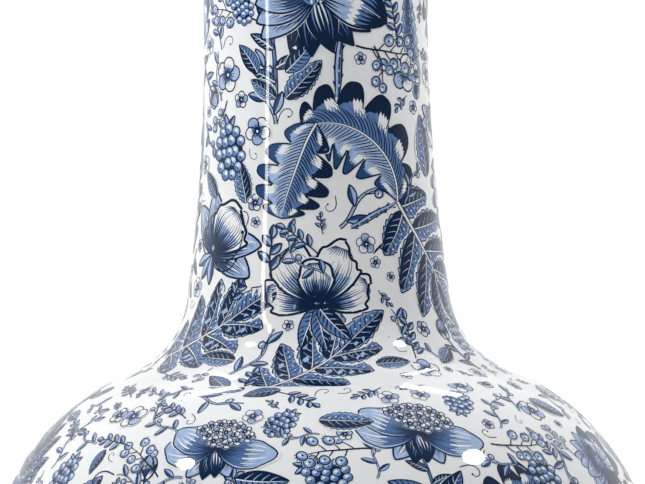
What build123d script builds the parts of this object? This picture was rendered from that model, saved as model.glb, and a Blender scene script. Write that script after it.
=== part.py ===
from build123d import *
import os
from math import sqrt

# Glazed earthenware bottle vase: a globular belly on a low foot ring, a long waisted neck
# and a rolled lip. The potter makes it in sections and lutes them together with clay slip
# before firing, so each section and each ring of slip is a solid of its own.
# Millimetres, +Z up, origin at the centre of the circle that the foot stands on.
# Every solid is a half section in the XZ plane, turned once round the Z axis.

os.makedirs("parts", exist_ok=True)

# ---- Driving dimensions: the outside ----
VASE_HEIGHT = 404.0
BELLY_RADIUS = 134.0        # widest circle
BELLY_Z = 107.0             # height of the widest circle
SHOULDER_ARC = 92.5         # section radius above the widest circle
BOWL_ARC = 107.0            # section radius below the widest circle
WAIST_RADIUS = 44.7         # narrowest circle of the neck
WAIST_Z = 328.0
NECK_ARC = 720.0            # section radius of the long, slightly waisted neck
COLLAR_FILLET = 37.0        # hollow curve between the shoulder and the neck

# ---- Driving dimensions: the wall ----
WALL = 6.0
FLOOR_THICKNESS = 9.0
FLOOR_FILLET = 14.0         # between the floor and the wall, inside

# ---- Driving dimensions: the mouth ----
BORE_RADIUS = 40.0          # true cylinder just below the lip
LIP_RADIUS = 54.0
LIP_HEIGHT = 8.0            # upright edge of the lip
FLARE_HEIGHT = 16.0         # sloping stretch between the neck and the lip
FLARE_FILLET = 26.0
LIP_LOWER_FILLET = 8.0
LIP_OUTER_FILLET = 4.0
MOUTH_FILLET = 8.5          # rounding from the bore to the top of the lip

# ---- Driving dimensions: the foot ring ----
FOOT_HEIGHT = 10.0
FOOT_TOP_RADIUS = 70.5
FOOT_BOTTOM_RADIUS = 73.0
FOOT_INNER_RADIUS = 60.0
FOOT_CHAMFER = 2.0

# ---- Driving dimensions: the luted joints ----
SLIP = 1.0                  # thickness of the slip in a joint
LAP_HEIGHT = 3.0            # how far a lower section's inner step stands up
BELLY_JOINT_Z = BELLY_Z
COLLAR_JOINT_Z = 214.0

# ---- Worked out from the dimensions above ----
BASE_Z = FOOT_HEIGHT + SLIP
FLOOR_Z = BASE_Z + FLOOR_THICKNESS
LIP_BOTTOM_Z = VASE_HEIGHT - LIP_HEIGHT
FLARE_BOTTOM_Z = LIP_BOTTOM_Z - FLARE_HEIGHT
INNER_NECK_ARC = NECK_ARC + WALL
BORE_STEP = BORE_RADIUS - (WAIST_RADIUS - WALL)     # the bore is wider than the inner waist by this
BORE_BOTTOM_Z = WAIST_Z + sqrt(INNER_NECK_ARC ** 2 - (INNER_NECK_ARC - BORE_STEP) ** 2)
RIM_JOINT_Z = BORE_BOTTOM_Z - LAP_HEIGHT            # so the whole bore lies in the mouth rim
SLIP_INNER_RADIUS = FOOT_INNER_RADIUS + 0.5
FAR = 2.0 * BELLY_RADIUS    # beyond everything, sideways and upwards


def block(left, bottom, right, top):
    """A rectangle of the half section, by its corners (radius, height)."""
    return Pos((left + right) / 2, (bottom + top) / 2) * Rectangle(right - left, top - bottom)


def disc(x, z, radius):
    """A circle of the half section."""
    return Pos(x, z) * Circle(radius)


def rounded(section, x, z, radius):
    """The section with its corner nearest to (x, z) rounded."""
    corner = section.vertices().sort_by_distance((x, z, 0))[0]
    return fillet(corner, radius)


def neck_radius(z):
    """The neck's outside radius at a height."""
    return WAIST_RADIUS + NECK_ARC - sqrt(NECK_ARC ** 2 - (z - WAIST_Z) ** 2)


def belly_section(inset, bottom_z):
    """The belly inside its outside surface less the inset, above bottom_z."""
    upper_x = BELLY_RADIUS - SHOULDER_ARC
    lower_x = BELLY_RADIUS - BOWL_ARC
    upper_radius = SHOULDER_ARC - inset
    cap = disc(upper_x, BELLY_Z, upper_radius) & block(upper_x, BELLY_Z, FAR, FAR)
    core = block(0, BELLY_Z, upper_x, BELLY_Z + upper_radius)
    bowl = disc(lower_x, BELLY_Z, BOWL_ARC - inset) & block(0, bottom_z, FAR, BELLY_Z)
    return bowl + core + cap


def neck_section(inset, top_z):
    """The neck inside its outside surface less the inset, from inside the belly to top_z."""
    hollow = disc(WAIST_RADIUS + NECK_ARC, WAIST_Z, NECK_ARC + inset)
    return block(0, BELLY_Z, BELLY_RADIUS / 2, top_z) - hollow


def bottle_section(inset, bottom_z, top_z):
    """Belly and neck in one, with the hollow curve at the collar."""
    section = belly_section(inset, bottom_z) + neck_section(inset, top_z)
    return rounded(section, WAIST_RADIUS, BELLY_Z + SHOULDER_ARC, COLLAR_FILLET + inset)


def lip_section():
    """The flare and the rolled lip, solid to the axis."""
    flare_radius = neck_radius(FLARE_BOTTOM_Z)
    corners = [(0, FLARE_BOTTOM_Z), (flare_radius, FLARE_BOTTOM_Z), (LIP_RADIUS, LIP_BOTTOM_Z),
               (LIP_RADIUS, VASE_HEIGHT), (0, VASE_HEIGHT)]
    return Polygon(*corners, align=None)


def outside_section():
    """Everything inside the vase's outer surface, without the foot ring."""
    section = bottle_section(0, BASE_Z, FLARE_BOTTOM_Z) + lip_section()
    section = rounded(section, neck_radius(FLARE_BOTTOM_Z), FLARE_BOTTOM_Z, FLARE_FILLET)
    section = rounded(section, LIP_RADIUS, LIP_BOTTOM_Z, LIP_LOWER_FILLET)
    return rounded(section, LIP_RADIUS, VASE_HEIGHT, LIP_OUTER_FILLET)


def inside_section():
    """The space inside the vase: belly, neck and the cylindrical bore."""
    bottle = bottle_section(WALL, FLOOR_Z, BORE_BOTTOM_Z)
    floor_reach = BELLY_RADIUS - BOWL_ARC + sqrt((BOWL_ARC - WALL) ** 2 - (BELLY_Z - FLOOR_Z) ** 2)
    bottle = rounded(bottle, floor_reach, FLOOR_Z, FLOOR_FILLET)
    return bottle + block(0, BORE_BOTTOM_Z, BORE_RADIUS, VASE_HEIGHT)


def wall_section():
    """The clay wall, with the mouth's inner edge rounded."""
    wall = outside_section() - inside_section()
    return rounded(wall, BORE_RADIUS, VASE_HEIGHT, MOUTH_FILLET)


def wall_middle(wall, z):
    """The radius of the middle of the wall at a height."""
    cut = (wall & block(0, z, FAR, z + SLIP)).bounding_box()
    return (cut.min.X + cut.max.X) / 2


def below_joint(wall, z):
    """The zone of the section below a lapped joint: its inner half stands up as a step."""
    lap_radius = wall_middle(wall, z)
    return block(0, 0, FAR, z) + block(0, 0, lap_radius, z + LAP_HEIGHT)


def slip_section(wall, z):
    """The slip squeezed in the outer half of a lapped joint."""
    return wall & block(wall_middle(wall, z), z, FAR, z + SLIP)


def foot_section():
    """The foot ring, a little wider at the bottom, with bevelled edges."""
    corners = [(FOOT_INNER_RADIUS, FOOT_HEIGHT), (FOOT_INNER_RADIUS, FOOT_CHAMFER),
               (FOOT_INNER_RADIUS + FOOT_CHAMFER, 0), (FOOT_BOTTOM_RADIUS - FOOT_CHAMFER, 0),
               (FOOT_BOTTOM_RADIUS, FOOT_CHAMFER), (FOOT_TOP_RADIUS, FOOT_HEIGHT)]
    return Polygon(*corners, align=None)


def turned(section):
    """The solid of revolution of a half section round the vase's axis."""
    return revolve(Plane.XZ * section, Axis.Z)


def save(node, section):
    """One node: a named solid in its own file."""
    solid = turned(section).solids()[0]
    solid.label = node
    export_step(solid, f"parts/{node}.step")
    print(f"{node:20s} volume {solid.volume / 1000:8.1f} cm3")


wall = wall_section()
below_belly_joint = below_joint(wall, BELLY_JOINT_Z)
below_collar_joint = below_joint(wall, COLLAR_JOINT_Z)
below_rim_joint = below_joint(wall, RIM_JOINT_Z)
belly_slip = slip_section(wall, BELLY_JOINT_Z)
collar_slip = slip_section(wall, COLLAR_JOINT_Z)
rim_slip = slip_section(wall, RIM_JOINT_Z)

save("foot_ring", foot_section())
save("foot_luting_slip", block(SLIP_INNER_RADIUS, FOOT_HEIGHT, FOOT_TOP_RADIUS, BASE_Z))
save("lower_body", wall & below_belly_joint)
save("belly_luting_slip", belly_slip)
save("upper_body", (wall & below_collar_joint) - below_belly_joint - belly_slip)
save("collar_luting_slip", collar_slip)
save("neck", (wall & below_rim_joint) - below_collar_joint - collar_slip)
save("rim_luting_slip", rim_slip)
save("mouth_rim", wall - below_rim_joint - rim_slip)
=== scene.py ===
import bpy
import numpy as np
from mathutils import Matrix, Vector
from mathutils.geometry import delaunay_2d_cdt


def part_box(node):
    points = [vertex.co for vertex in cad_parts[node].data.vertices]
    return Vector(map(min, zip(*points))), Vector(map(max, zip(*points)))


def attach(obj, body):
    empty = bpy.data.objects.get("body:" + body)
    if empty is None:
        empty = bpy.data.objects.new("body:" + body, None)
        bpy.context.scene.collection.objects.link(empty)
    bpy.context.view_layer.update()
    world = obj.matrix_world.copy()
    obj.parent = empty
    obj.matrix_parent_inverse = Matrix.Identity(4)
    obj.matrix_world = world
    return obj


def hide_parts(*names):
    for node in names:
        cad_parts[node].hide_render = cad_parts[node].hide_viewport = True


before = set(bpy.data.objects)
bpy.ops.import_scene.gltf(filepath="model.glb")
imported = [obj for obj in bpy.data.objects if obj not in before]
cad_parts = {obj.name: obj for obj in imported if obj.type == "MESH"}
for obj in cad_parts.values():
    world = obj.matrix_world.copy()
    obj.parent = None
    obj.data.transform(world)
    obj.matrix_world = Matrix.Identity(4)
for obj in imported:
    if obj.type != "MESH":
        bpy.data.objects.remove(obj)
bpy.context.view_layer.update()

# A bottle vase with blue floral print under a white gloss glaze. The CAD solids carry the
# glaze; the print is drawn below as flat ornament, laid on the vase's outside surface.
# Lengths are in millimetres until they go to Blender, which works in metres.

MM = 0.001

# ---- Drawing: flat ornament in millimetres, as closed outlines in painting order ----
# A point is a complex number: x to the right, y up the vase. Every motif grows from 0 upwards.

PAPER, PALE, MID, BLUE, NAVY = range(5)
TAU = 2 * np.pi


def spine(length, bend=0.0, sway=0.0, count=40):
    """A path of one length, starting upwards, that turns by bend and sways by sway (radians)."""
    t = np.linspace(0, 1, count)
    heading = 1j * np.exp(1j * (bend * t + sway * np.sin(TAU * t)))
    return np.concatenate([[0], np.cumsum((heading[1:] + heading[:-1]) / 2)]) * length / (count - 1)


def circle(centre, radius, count=14, squash=1.0, turn=0.0):
    """A closed round outline."""
    a = np.arange(count) / count * TAU
    return centre + radius * (np.cos(a) + 1j * squash * np.sin(a)) * np.exp(1j * turn)


def point_at(path, t):
    """The point, and the unit direction, at each t from 0 to 1 along a path."""
    x = np.clip(t, 0, 1) * (len(path) - 1)
    grid = np.arange(len(path))
    step = np.gradient(path)
    point = np.interp(x, grid, path.real) + 1j * np.interp(x, grid, path.imag)
    way = np.interp(x, grid, step.real) + 1j * np.interp(x, grid, step.imag)
    return point, way / np.maximum(abs(way), 1e-9)


class Sketch:
    """Closed outlines with inks, painted in order."""

    def __init__(self):
        self.shapes = []

    def fill(self, ink, outline):
        self.shapes.append((ink, np.asarray(outline, complex)))

    def line(self, ink, path, width, start=0.35, end=0.35, swell=0.5):
        """A pen stroke: width at its thickest, with the shares of it left at both ends."""
        path = np.asarray(path, complex)
        t = np.linspace(0, 1, len(path))
        rise = np.clip(t / swell, 0, 1)
        fall = np.clip((1 - t) / (1 - swell + 1e-9), 0, 1)
        share = np.minimum(start + (1 - start) * np.sin(rise * np.pi / 2),
                           end + (1 - end) * np.sin(fall * np.pi / 2))
        way = np.gradient(path)
        side = 1j * way / np.maximum(abs(way), 1e-9) * share * width / 2
        self.fill(ink, np.concatenate([path + side, (path - side)[::-1]]))

    def ring(self, ink, outline, width):
        """A closed pen line."""
        loop = np.concatenate([outline, outline[:2]])
        self.line(ink, loop, width, 1, 1)

    def add(self, other, at=0, turn=0.0, size=1.0, flip=False):
        """Another sketch, turned in degrees about its own 0 and put at a point."""
        factor = size * np.exp(1j * np.radians(turn))
        for ink, outline in other.shapes:
            if flip:
                outline = -outline.conj()
            self.shapes.append((ink, at + outline * factor))


# ---- Blades: what leaves and petals share ----

def lens(peak=0.5, blunt=0.8):
    """The half width of a leaf along its spine: widest at peak."""
    power = np.log(0.5) / np.log(peak)
    return lambda t: np.sin(np.pi * np.clip(t, 0, 1) ** power) ** blunt


def lobed(envelope, count, depth):
    """An envelope cut into round lobes."""
    return lambda t: envelope(t) * (1 - depth * (1 - abs(np.sin(np.pi * count * t))) ** 1.6)


def toothed(envelope, count, depth):
    """An envelope with saw teeth."""
    return lambda t: envelope(t) * (1 - depth * ((count * t) % 1.0))


class Blade:
    """A leaf or petal: a spine, a width, and the outline's half width along the spine.
    A place on it is t, from 0 at the foot to 1 at the tip, and v, from -1 to 1 across."""

    def __init__(self, path, width, shape, lean=0.0):
        self.path, self.half, self.shape, self.lean = path, width / 2, shape, lean

    def at(self, t, v):
        t, v = np.asarray(t, float), np.asarray(v, float)
        along = t + self.lean * abs(v) * t * (1 - t) * 4
        point, way = point_at(self.path, along)
        return point + 1j * way * v * self.half * self.shape(t)

    def outline(self, inset=1.0, count=44, start=0.0, end=1.0):
        t = np.linspace(start, end, count)
        return np.concatenate([self.at(t, inset), self.at(t[::-1], -inset)])

    def half_outline(self, side, inset=1.0, count=36, start=0.0, end=1.0):
        t = np.linspace(start, end, count)
        return np.concatenate([self.at(t, 0 * t), self.at(t[::-1], side * inset)])

    def stroke(self, t0, v0, t1, v1, count=7, bow=1.4):
        """A line across the blade from one place to another, bowed towards the tip."""
        s = np.linspace(0, 1, count)
        return self.at(t0 + (t1 - t0) * s ** bow, v0 + (v1 - v0) * s)


def hatch(sketch, blade, ink, count, reach=(0.1, 0.9), rise=0.12, width=0.5, span=(0.05, 0.9),
          sides=(-1, 1), rng=None, vary=0.15):
    """Engraved lines from the spine towards the margins."""
    for side in sides:
        for i in range(count):
            t = span[0] + (span[1] - span[0]) * (i + 0.5) / count
            far = reach[1] * (1 - vary * (rng.random() if rng else 0))
            path = blade.stroke(t, side * reach[0], min(t + rise, 1), side * far)
            sketch.line(ink, path, width, 0.8, 0.15, 0.3)


def streaks(sketch, blade, ink, count, span=(0.05, 0.7), width=0.5, spread=0.8, rng=None, vary=0.3):
    """Engraved lines along a petal, fanning with it."""
    for i in range(count):
        v = spread * (2 * (i + 0.5) / count - 1)
        end = span[1] * (1 - vary * (rng.random() if rng else abs(v)))
        t = np.linspace(span[0], end, 7)
        sketch.line(ink, blade.at(t, v + 0 * t), width, 0.7, 0.1, 0.25)


def torn(blade, start, end, inset=1.0, teeth=8, depth=0.07):
    """The stretch of a blade between two places, with torn ends; a foot at 0 stays whole."""
    v = np.linspace(-inset, inset, 2 * teeth + 1)
    jag = depth * (np.arange(2 * teeth + 1) % 2)
    near = blade.at(start + jag * (start > 0), v)
    far = blade.at(end - jag, v)
    t = np.linspace(start, end, 12)[1:-1]
    return np.concatenate([near, blade.at(t, inset), far[::-1], blade.at(t[::-1], -inset)])


# ---- Leaves ----

def oak_leaf(length=34.0, width=22.0, bend=0.5, lobes=5, seed=1, dark_side=1):
    """A big feathered leaf with round lobes, a pale midrib and dark lobe ends."""
    rng = np.random.RandomState(seed)
    s = Sketch()
    plain = Blade(spine(length, bend, 0.08), width, lens(0.48, 0.58), lean=0.12)
    b = Blade(plain.path, width, lobed(plain.shape, lobes, 0.60), lean=0.12)
    s.fill(PAPER, b.outline(1.07, 90))
    s.fill(PALE, b.outline(1.0, 90))
    s.fill(MID, b.half_outline(dark_side, 0.97, 60))
    for side in (-1, 1):
        for i in range(lobes):
            dark = side == dark_side
            s.fill(NAVY if dark else BLUE, lobe_end(b, i / lobes, 1 / lobes, side, dark))
            s.fill(PAPER, lobe_light(b, (i + 0.5) / lobes, side, 0.22 / lobes))
    hatch(s, plain, NAVY, lobes * 5, (0.04, 0.50), 0.09, 0.52, (0.02, 0.90), (-dark_side,), rng, 0.25)
    hatch(s, plain, NAVY, lobes * 5, (0.04, 0.54), 0.09, 0.62, (0.02, 0.90), (dark_side,), rng, 0.30)
    s.ring(NAVY, b.outline(1.0, 90), 0.7)
    s.line(NAVY, b.at(np.linspace(0, 0.97, 30), 0), 1.7, 0.9, 0.3, 0.1)
    s.line(PAPER, b.at(np.linspace(0.0, 0.95, 30), 0), 0.85, 1.0, 0.3, 0.1)
    return s


def lobe_end(blade, start, step, side, dark):
    """The shaded end of one lobe, torn on its inner edge."""
    share = np.linspace(0.03, 0.97, 15)
    t = start + step * share
    depth = (0.50 if dark else 0.34) * np.sin(np.pi * share) ** 0.7
    inner = 0.97 - depth + 0.10 * (np.arange(15) % 2) * np.sin(np.pi * share)
    return np.concatenate([blade.at(t, side), blade.at(t[::-1], side * inner[::-1])])


def lobe_light(blade, t, side, half):
    """The white light on one lobe, with a torn inner edge."""
    along = np.linspace(t - half, t + half, 9)
    outer = blade.at(along, side * (0.60 + 0.08 * (np.arange(9) % 2)))
    teeth = 0.30 + 0.16 * (np.arange(9) % 2)
    return np.concatenate([outer, blade.at(along[::-1], side * teeth[::-1])])


def serrated_leaf(length=20.0, width=9.0, bend=0.2, seed=1, light_side=1, teeth=9):
    """A pointed leaf: dark with light veins, a paler stippled side and a toothed margin."""
    rng = np.random.RandomState(seed)
    s = Sketch()
    plain = Blade(spine(length, bend, 0.05), width, lens(0.42, 0.72))
    b = Blade(plain.path, width, toothed(plain.shape, teeth, 0.17))
    s.fill(PAPER, plain.outline(1.14, 30))
    s.fill(PALE, b.outline(1.0, 60))
    s.fill(MID, plain.half_outline(light_side, 0.74, 24, 0.03, 0.93))
    s.fill(NAVY, plain.half_outline(-light_side, 0.80, 24, 0.02, 0.95))
    hatch(s, plain, PALE, 5, (0.04, 0.66), 0.15, 0.36, (0.08, 0.8), (-light_side,), rng)
    hatch(s, plain, NAVY, 8, (0.06, 0.92), 0.13, 0.50, (0.04, 0.85), (light_side,), rng, 0.4)
    for i in range(6):
        t = 0.18 + 0.12 * i
        s.fill(PAPER, circle(plain.at(t, light_side * (0.34 + 0.10 * (i % 2))), 0.36, 6))
    s.ring(NAVY, b.outline(1.0, 60), 0.52)
    s.line(NAVY, plain.at(np.linspace(0, 0.97, 16), 0), 1.0, 1, 0.3, 0.1)
    s.line(PAPER, plain.at(np.linspace(0, 0.9, 16), 0), 0.42, 1, 0.3, 0.1)
    return s


def compound_leaf(size=1.0, seed=1, bend=0.25):
    """Nine serrated leaflets crowded on one pale stalk."""
    s = Sketch()
    stalk = spine(31 * size, bend, 0.05)
    spots = ((0.06, 66, 13), (0.12, -60, 14), (0.32, 56, 17), (0.36, -54, 18), (0.58, 46, 18),
             (0.62, -46, 18), (0.80, 32, 16), (0.84, -32, 15), (0.97, 0, 17))
    for i, (t, angle, length) in enumerate(spots):
        at, way = point_at(stalk, t)
        turn = np.degrees(np.angle(way)) - 90 + angle
        side = 1 if angle > 0 else -1
        leaf = serrated_leaf(1.08 * length * size, 10.2 * size, 0.24 * side, seed + i, -side, 6)
        s.add(leaf, at, turn)
    s.line(NAVY, stalk, 1.6 * size, 1, 0.4, 0.1)
    s.line(PAPER, stalk, 0.85 * size, 1, 0.4, 0.1)
    return s


def feather_leaf(length=40.0, width=10.0, bend=0.3, seed=1):
    """A long blade of soft barbs on a thin midrib."""
    rng = np.random.RandomState(seed)
    s = Sketch()
    b = Blade(spine(length, bend, 0.1), width, toothed(lens(0.4, 0.6), 9, 0.30), 0.05)
    s.fill(PAPER, b.outline(1.08, 60))
    s.fill(PALE, b.outline(0.98, 70))
    s.fill(MID, b.half_outline(1, 0.8, 40, 0.02, 0.95))
    hatch(s, b, BLUE, 24, (0.06, 0.98), 0.07, 0.56, (0.02, 0.93), (-1, 1), rng, 0.25)
    hatch(s, b, NAVY, 18, (0.04, 0.7), 0.07, 0.50, (0.02, 0.93), (-1, 1), rng, 0.5)
    s.ring(NAVY, b.outline(1.0, 70), 0.42)
    s.line(NAVY, b.at(np.linspace(0, 1, 24), 0), 0.8, 1, 0.3, 0.1)
    return s


def dark_leaf(length=16.0, width=7.0, bend=0.3):
    """A plain pointed leaf, dark with light veins."""
    s = Sketch()
    b = Blade(spine(length, bend), width, lens(0.42, 0.8))
    s.fill(PAPER, b.outline(1.15, 24))
    s.fill(MID, b.outline(1.0, 24))
    hatch(s, b, NAVY, 7, (0.04, 0.95), 0.14, 0.52, (0.05, 0.85), (-1,))
    s.fill(NAVY, b.half_outline(1, 1.0, 20))
    hatch(s, b, PALE, 4, (0.1, 0.8), 0.14, 0.38, (0.1, 0.75), (1,))
    s.line(PAPER, b.at(np.linspace(0, 0.9, 12), 0), 0.42, 1, 0.3, 0.1)
    s.ring(NAVY, b.outline(1.0, 24), 0.5)
    return s


def small_leaf(length=6.0, width=2.4, tone=MID):
    """A little outlined leaf with one dark half."""
    s = Sketch()
    b = Blade(spine(length, 0.15), width, lens(0.5, 0.8))
    s.fill(PAPER, b.outline(1.2, 12))
    s.fill(tone, b.outline(1.0, 12))
    s.fill(BLUE, b.half_outline(1, 0.95, 10))
    s.ring(NAVY, b.outline(1.0, 12), 0.48)
    return s


def sprig(length=20.0, leaves=7, bend=0.4, leaf=5.5, seed=1, tone=PALE):
    """A thin stem with little leaves on both sides."""
    rng = np.random.RandomState(seed)
    s = Sketch()
    stem = spine(length, bend, 0.1)
    s.line(NAVY, stem, 0.62, 1, 0.5, 0.1)
    for i in range(leaves):
        t = 0.25 + 0.75 * i / max(leaves - 1, 1)
        at, way = point_at(stem, t)
        side = 0 if i == leaves - 1 else (1 if i % 2 else -1)
        turn = np.degrees(np.angle(way)) - 90 + side * (42 + 10 * rng.random())
        s.add(small_leaf(leaf * (1 - 0.3 * t), leaf * 0.42, tone), at, turn)
    return s


# ---- Berries ----

def berry(radius=2.1, seed=1):
    """A ringed berry with a dark crescent, a spot and a little crown."""
    s = Sketch()
    centre = 1j * radius
    s.fill(PAPER, circle(centre, radius * 1.2, 12))
    for k in (-1, 0, 1):
        tip = centre + radius * 1.45 * np.exp(1j * (np.pi / 2 + 0.42 * k))
        s.line(NAVY, [centre + (tip - centre) * 0.6, tip], 0.5, 1, 0.4)
    s.fill(PALE, circle(centre, radius, 14))
    s.fill(MID, crescent(centre, radius, 0.55, 2.6 + 0.4 * (seed % 3)))
    s.ring(NAVY, circle(centre, radius, 16), 0.52)
    s.fill(PAPER, circle(centre + radius * (0.25 + 0.3j), radius * 0.28, 8))
    s.fill(NAVY, circle(centre + radius * (0.1 - 0.15j), radius * 0.22, 6))
    return s


def crescent(centre, radius, depth, heading):
    """The shaded edge of a round thing."""
    a = np.linspace(-1.3, 1.3, 10) + heading
    outer = centre + radius * np.exp(1j * a)
    inner = centre + radius * (np.exp(1j * a) - depth * np.exp(1j * heading) * np.cos(a - heading))
    return np.concatenate([outer, inner[::-1]])


def berry_spray(length=22.0, count=7, bend=0.5, radius=1.9, seed=1):
    """Berries on thin stalks along a stem."""
    rng = np.random.RandomState(seed)
    s = Sketch()
    stem = spine(length, bend, 0.12)
    s.line(NAVY, stem, 0.7, 1, 0.5, 0.1)
    for i in range(count):
        t = 0.3 + 0.7 * i / max(count - 1, 1)
        at, way = point_at(stem, t)
        side = 0 if i == count - 1 else (1 if i % 2 else -1)
        angle = np.degrees(np.angle(way)) - 90 + side * (50 + 22 * rng.random())
        reach = length * (0.16 + 0.08 * rng.random()) * (0.4 if side == 0 else 1)
        stalk = at + spine(reach, -0.4 * side, 0, 6) * np.exp(1j * np.radians(angle))
        s.line(NAVY, stalk, 0.5, 1, 0.8, 0.1)
        s.add(berry(radius * (1 - 0.22 * rng.random()), i), stalk[-1], angle - 20 * side)
    return s


def berry_cluster(size=11.0, seed=1):
    """A bramble: round drupelets heaped in an egg shape under a leafy crown."""
    rng = np.random.RandomState(seed)
    s = Sketch()
    long, wide = 0.62 * size, 0.44 * size
    centre = 1j * long
    for angle in (-48, 0, 46):
        s.add(small_leaf(0.42 * size, 0.17 * size, PALE), centre + 0.8j * long, angle)
    s.fill(NAVY, circle(centre, long, 20, wide / long, np.pi / 2))
    spots = [centre]
    for share, count in ((0.46, 6), (0.92, 11)):
        for k in range(count):
            a = TAU * (k + 0.5 * (count > 6)) / count
            spots.append(centre + share * (wide * np.cos(a) + 1j * long * np.sin(a)))
    for i in rng.permutation(len(spots)):
        at = spots[i] + 0.05 * size * (rng.random() - 0.5 + 1j * (rng.random() - 0.5))
        radius = size * (0.125 + 0.02 * rng.random())
        s.fill(NAVY, circle(at, radius * 1.10, 10))
        s.fill(PALE, circle(at, radius * 0.86, 10))
        s.fill(MID, crescent(at, radius * 0.86, 0.8, -2.2))
        s.fill(PAPER, circle(at + radius * (0.15 + 0.25j), radius * 0.34, 6))
        s.fill(NAVY, circle(at - radius * (0.1 + 0.15j), radius * 0.16, 5))
    return s


def bead_arc(length=26.0, width=5.0, bend=1.2, seed=1):
    """A curved string of beads on a dark ground."""
    rng = np.random.RandomState(seed)
    s = Sketch()
    b = Blade(spine(length, bend), width, lens(0.45, 0.35))
    s.fill(PAPER, b.outline(1.15, 30))
    s.fill(NAVY, b.outline(1.0, 30))
    for t in np.arange(0.04, 0.97, 1.9 / length):
        for v in (-0.55, 0.0, 0.55):
            if rng.random() < 0.9:
                at = b.at(t + 0.3 * v / length, v + 0.12 * (rng.random() - 0.5))
                s.fill(PALE if rng.random() < 0.4 else PAPER, circle(at, 0.55 + 0.12 * rng.random(), 7))
    return s


# ---- Flowers ----

def frilled(blade, waves, depth, rng, count=64):
    """A petal's outline with an uneven wavy edge."""
    t = np.linspace(0.0, 1.0, count)
    loop = np.concatenate([blade.at(t, 1), blade.at(t[::-1], -1)])
    foot = blade.path[0]
    a = np.linspace(0, TAU, len(loop))
    outwards = np.clip(abs(loop - foot) / max(abs(loop - foot)), 0, 1) ** 2
    wave = np.sin(waves * a + TAU * rng.random()) + 0.6 * np.sin(2.4 * waves * a + TAU * rng.random())
    return foot + (loop - foot) * (1 + depth * outwards * wave)


def fan_petal(length=16.0, width=17.0, bend=0.0, waves=5, seed=1, lines=11):
    """A broad petal: a bold wavy outline, white at the rim, and radial lines from its foot."""
    rng = np.random.RandomState(seed)
    s = Sketch()
    b = Blade(spine(length, bend), width, lens(0.64, 0.62))
    edge = frilled(b, waves, 0.075, rng)
    s.fill(PAPER, b.path[0] + (edge - b.path[0]) * 1.05)
    s.fill(PALE, torn(b, 0.0, 0.62, 0.74))
    s.fill(MID, torn(b, 0.0, 0.34, 0.62))
    streaks(s, b, BLUE, lines + 2, (0.04, 0.88), 0.62, 0.84, rng, 0.40)
    streaks(s, b, NAVY, lines - 1, (0.02, 0.74), 0.66, 0.74, rng, 0.45)
    for i in range(lines):
        v = 1.7 * (i + 0.5) / lines - 0.85
        inwards = np.linspace(0.96, 0.86 - 0.06 * rng.random(), 4)
        s.line(BLUE, b.at(inwards, v + 0 * inwards), 0.40, 1, 0.2, 0.2)
    s.ring(NAVY, edge, 0.9)
    return s


def peony(size=1.0, seed=3):
    """A full-blown flower seen from the side: fan petals round a closed cup."""
    s = Sketch()
    for k in range(3):
        s.add(dark_leaf(17 * size, 6.5 * size, 0.3), 0, 150 + 32 * k)
    for k, (angle, length, width) in enumerate(((72, 20, 13), (-70, 20, 14), (32, 24, 16), (-26, 23, 17))):
        s.add(fan_petal(length * size, width * size, 0.1, 5, seed + k, 12), 0, angle)
    s.add(fan_petal(16 * size, 13 * size, 0, 3, seed + 7, 11), 0, 4)
    s.fill(NAVY, circle(0, 1.3 * size, 10, 0.8))
    return s


def pointed_petal(length=20.0, width=9.0, bend=0.3, seed=1, dark=False, lines=6):
    """A long petal with a sharp tip, streaked along its length."""
    rng = np.random.RandomState(seed)
    s = Sketch()
    b = Blade(spine(length, bend, 0.06), width, lens(0.44, 0.95) if dark else lens(0.5, 0.72))
    s.fill(PAPER, b.outline(1.12, 26))
    if dark:
        s.fill(NAVY, b.outline(1.0, 26))
        streaks(s, b, MID, 5, (0.08, 0.85), 0.60, 0.72, rng)
        streaks(s, b, PAPER, 3, (0.15, 0.62), 0.50, 0.5, rng)
    else:
        s.fill(PALE, b.outline(1.0, 26))
        s.fill(MID, torn(b, 0.0, 0.5, 0.9))
        streaks(s, b, PAPER, 3, (0.45, 0.9), 0.9, 0.5, rng)
        streaks(s, b, NAVY, lines, (0.03, 0.92), 0.58, 0.85, rng, 0.4)
        streaks(s, b, BLUE, lines - 1, (0.03, 0.8), 0.55, 0.70, rng, 0.3)
    s.ring(NAVY, b.outline(1.0, 26), 0.65)
    return s


def tipped_petal(length=24.0, width=12.0, bend=-0.4, seed=1):
    """A big pointed petal: streaked at its foot, white in the middle and dark at its tip."""
    rng = np.random.RandomState(seed)
    s = Sketch()
    b = Blade(spine(length, bend, 0.06), width, lens(0.55, 0.66))
    s.fill(PAPER, b.outline(1.08, 30))
    s.fill(PALE, torn(b, 0.0, 0.52))
    s.fill(MID, torn(b, 0.56, 1.0))
    for v in np.linspace(-0.88, 0.88, 9):
        start = 0.46 + 0.16 * rng.random()
        s.line(NAVY, b.at(np.linspace(1.0, start, 8), v + np.zeros(8)), 1.25, 1, 0.1, 0.1)
    streaks(s, b, NAVY, 8, (0.02, 0.50), 0.60, 0.85, rng, 0.4)
    s.line(PAPER, b.at(np.linspace(0.1, 0.9, 12), 0), 0.5, 1, 0.3, 0.1)
    s.ring(NAVY, b.outline(1.0, 30), 0.7)
    return s


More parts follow.
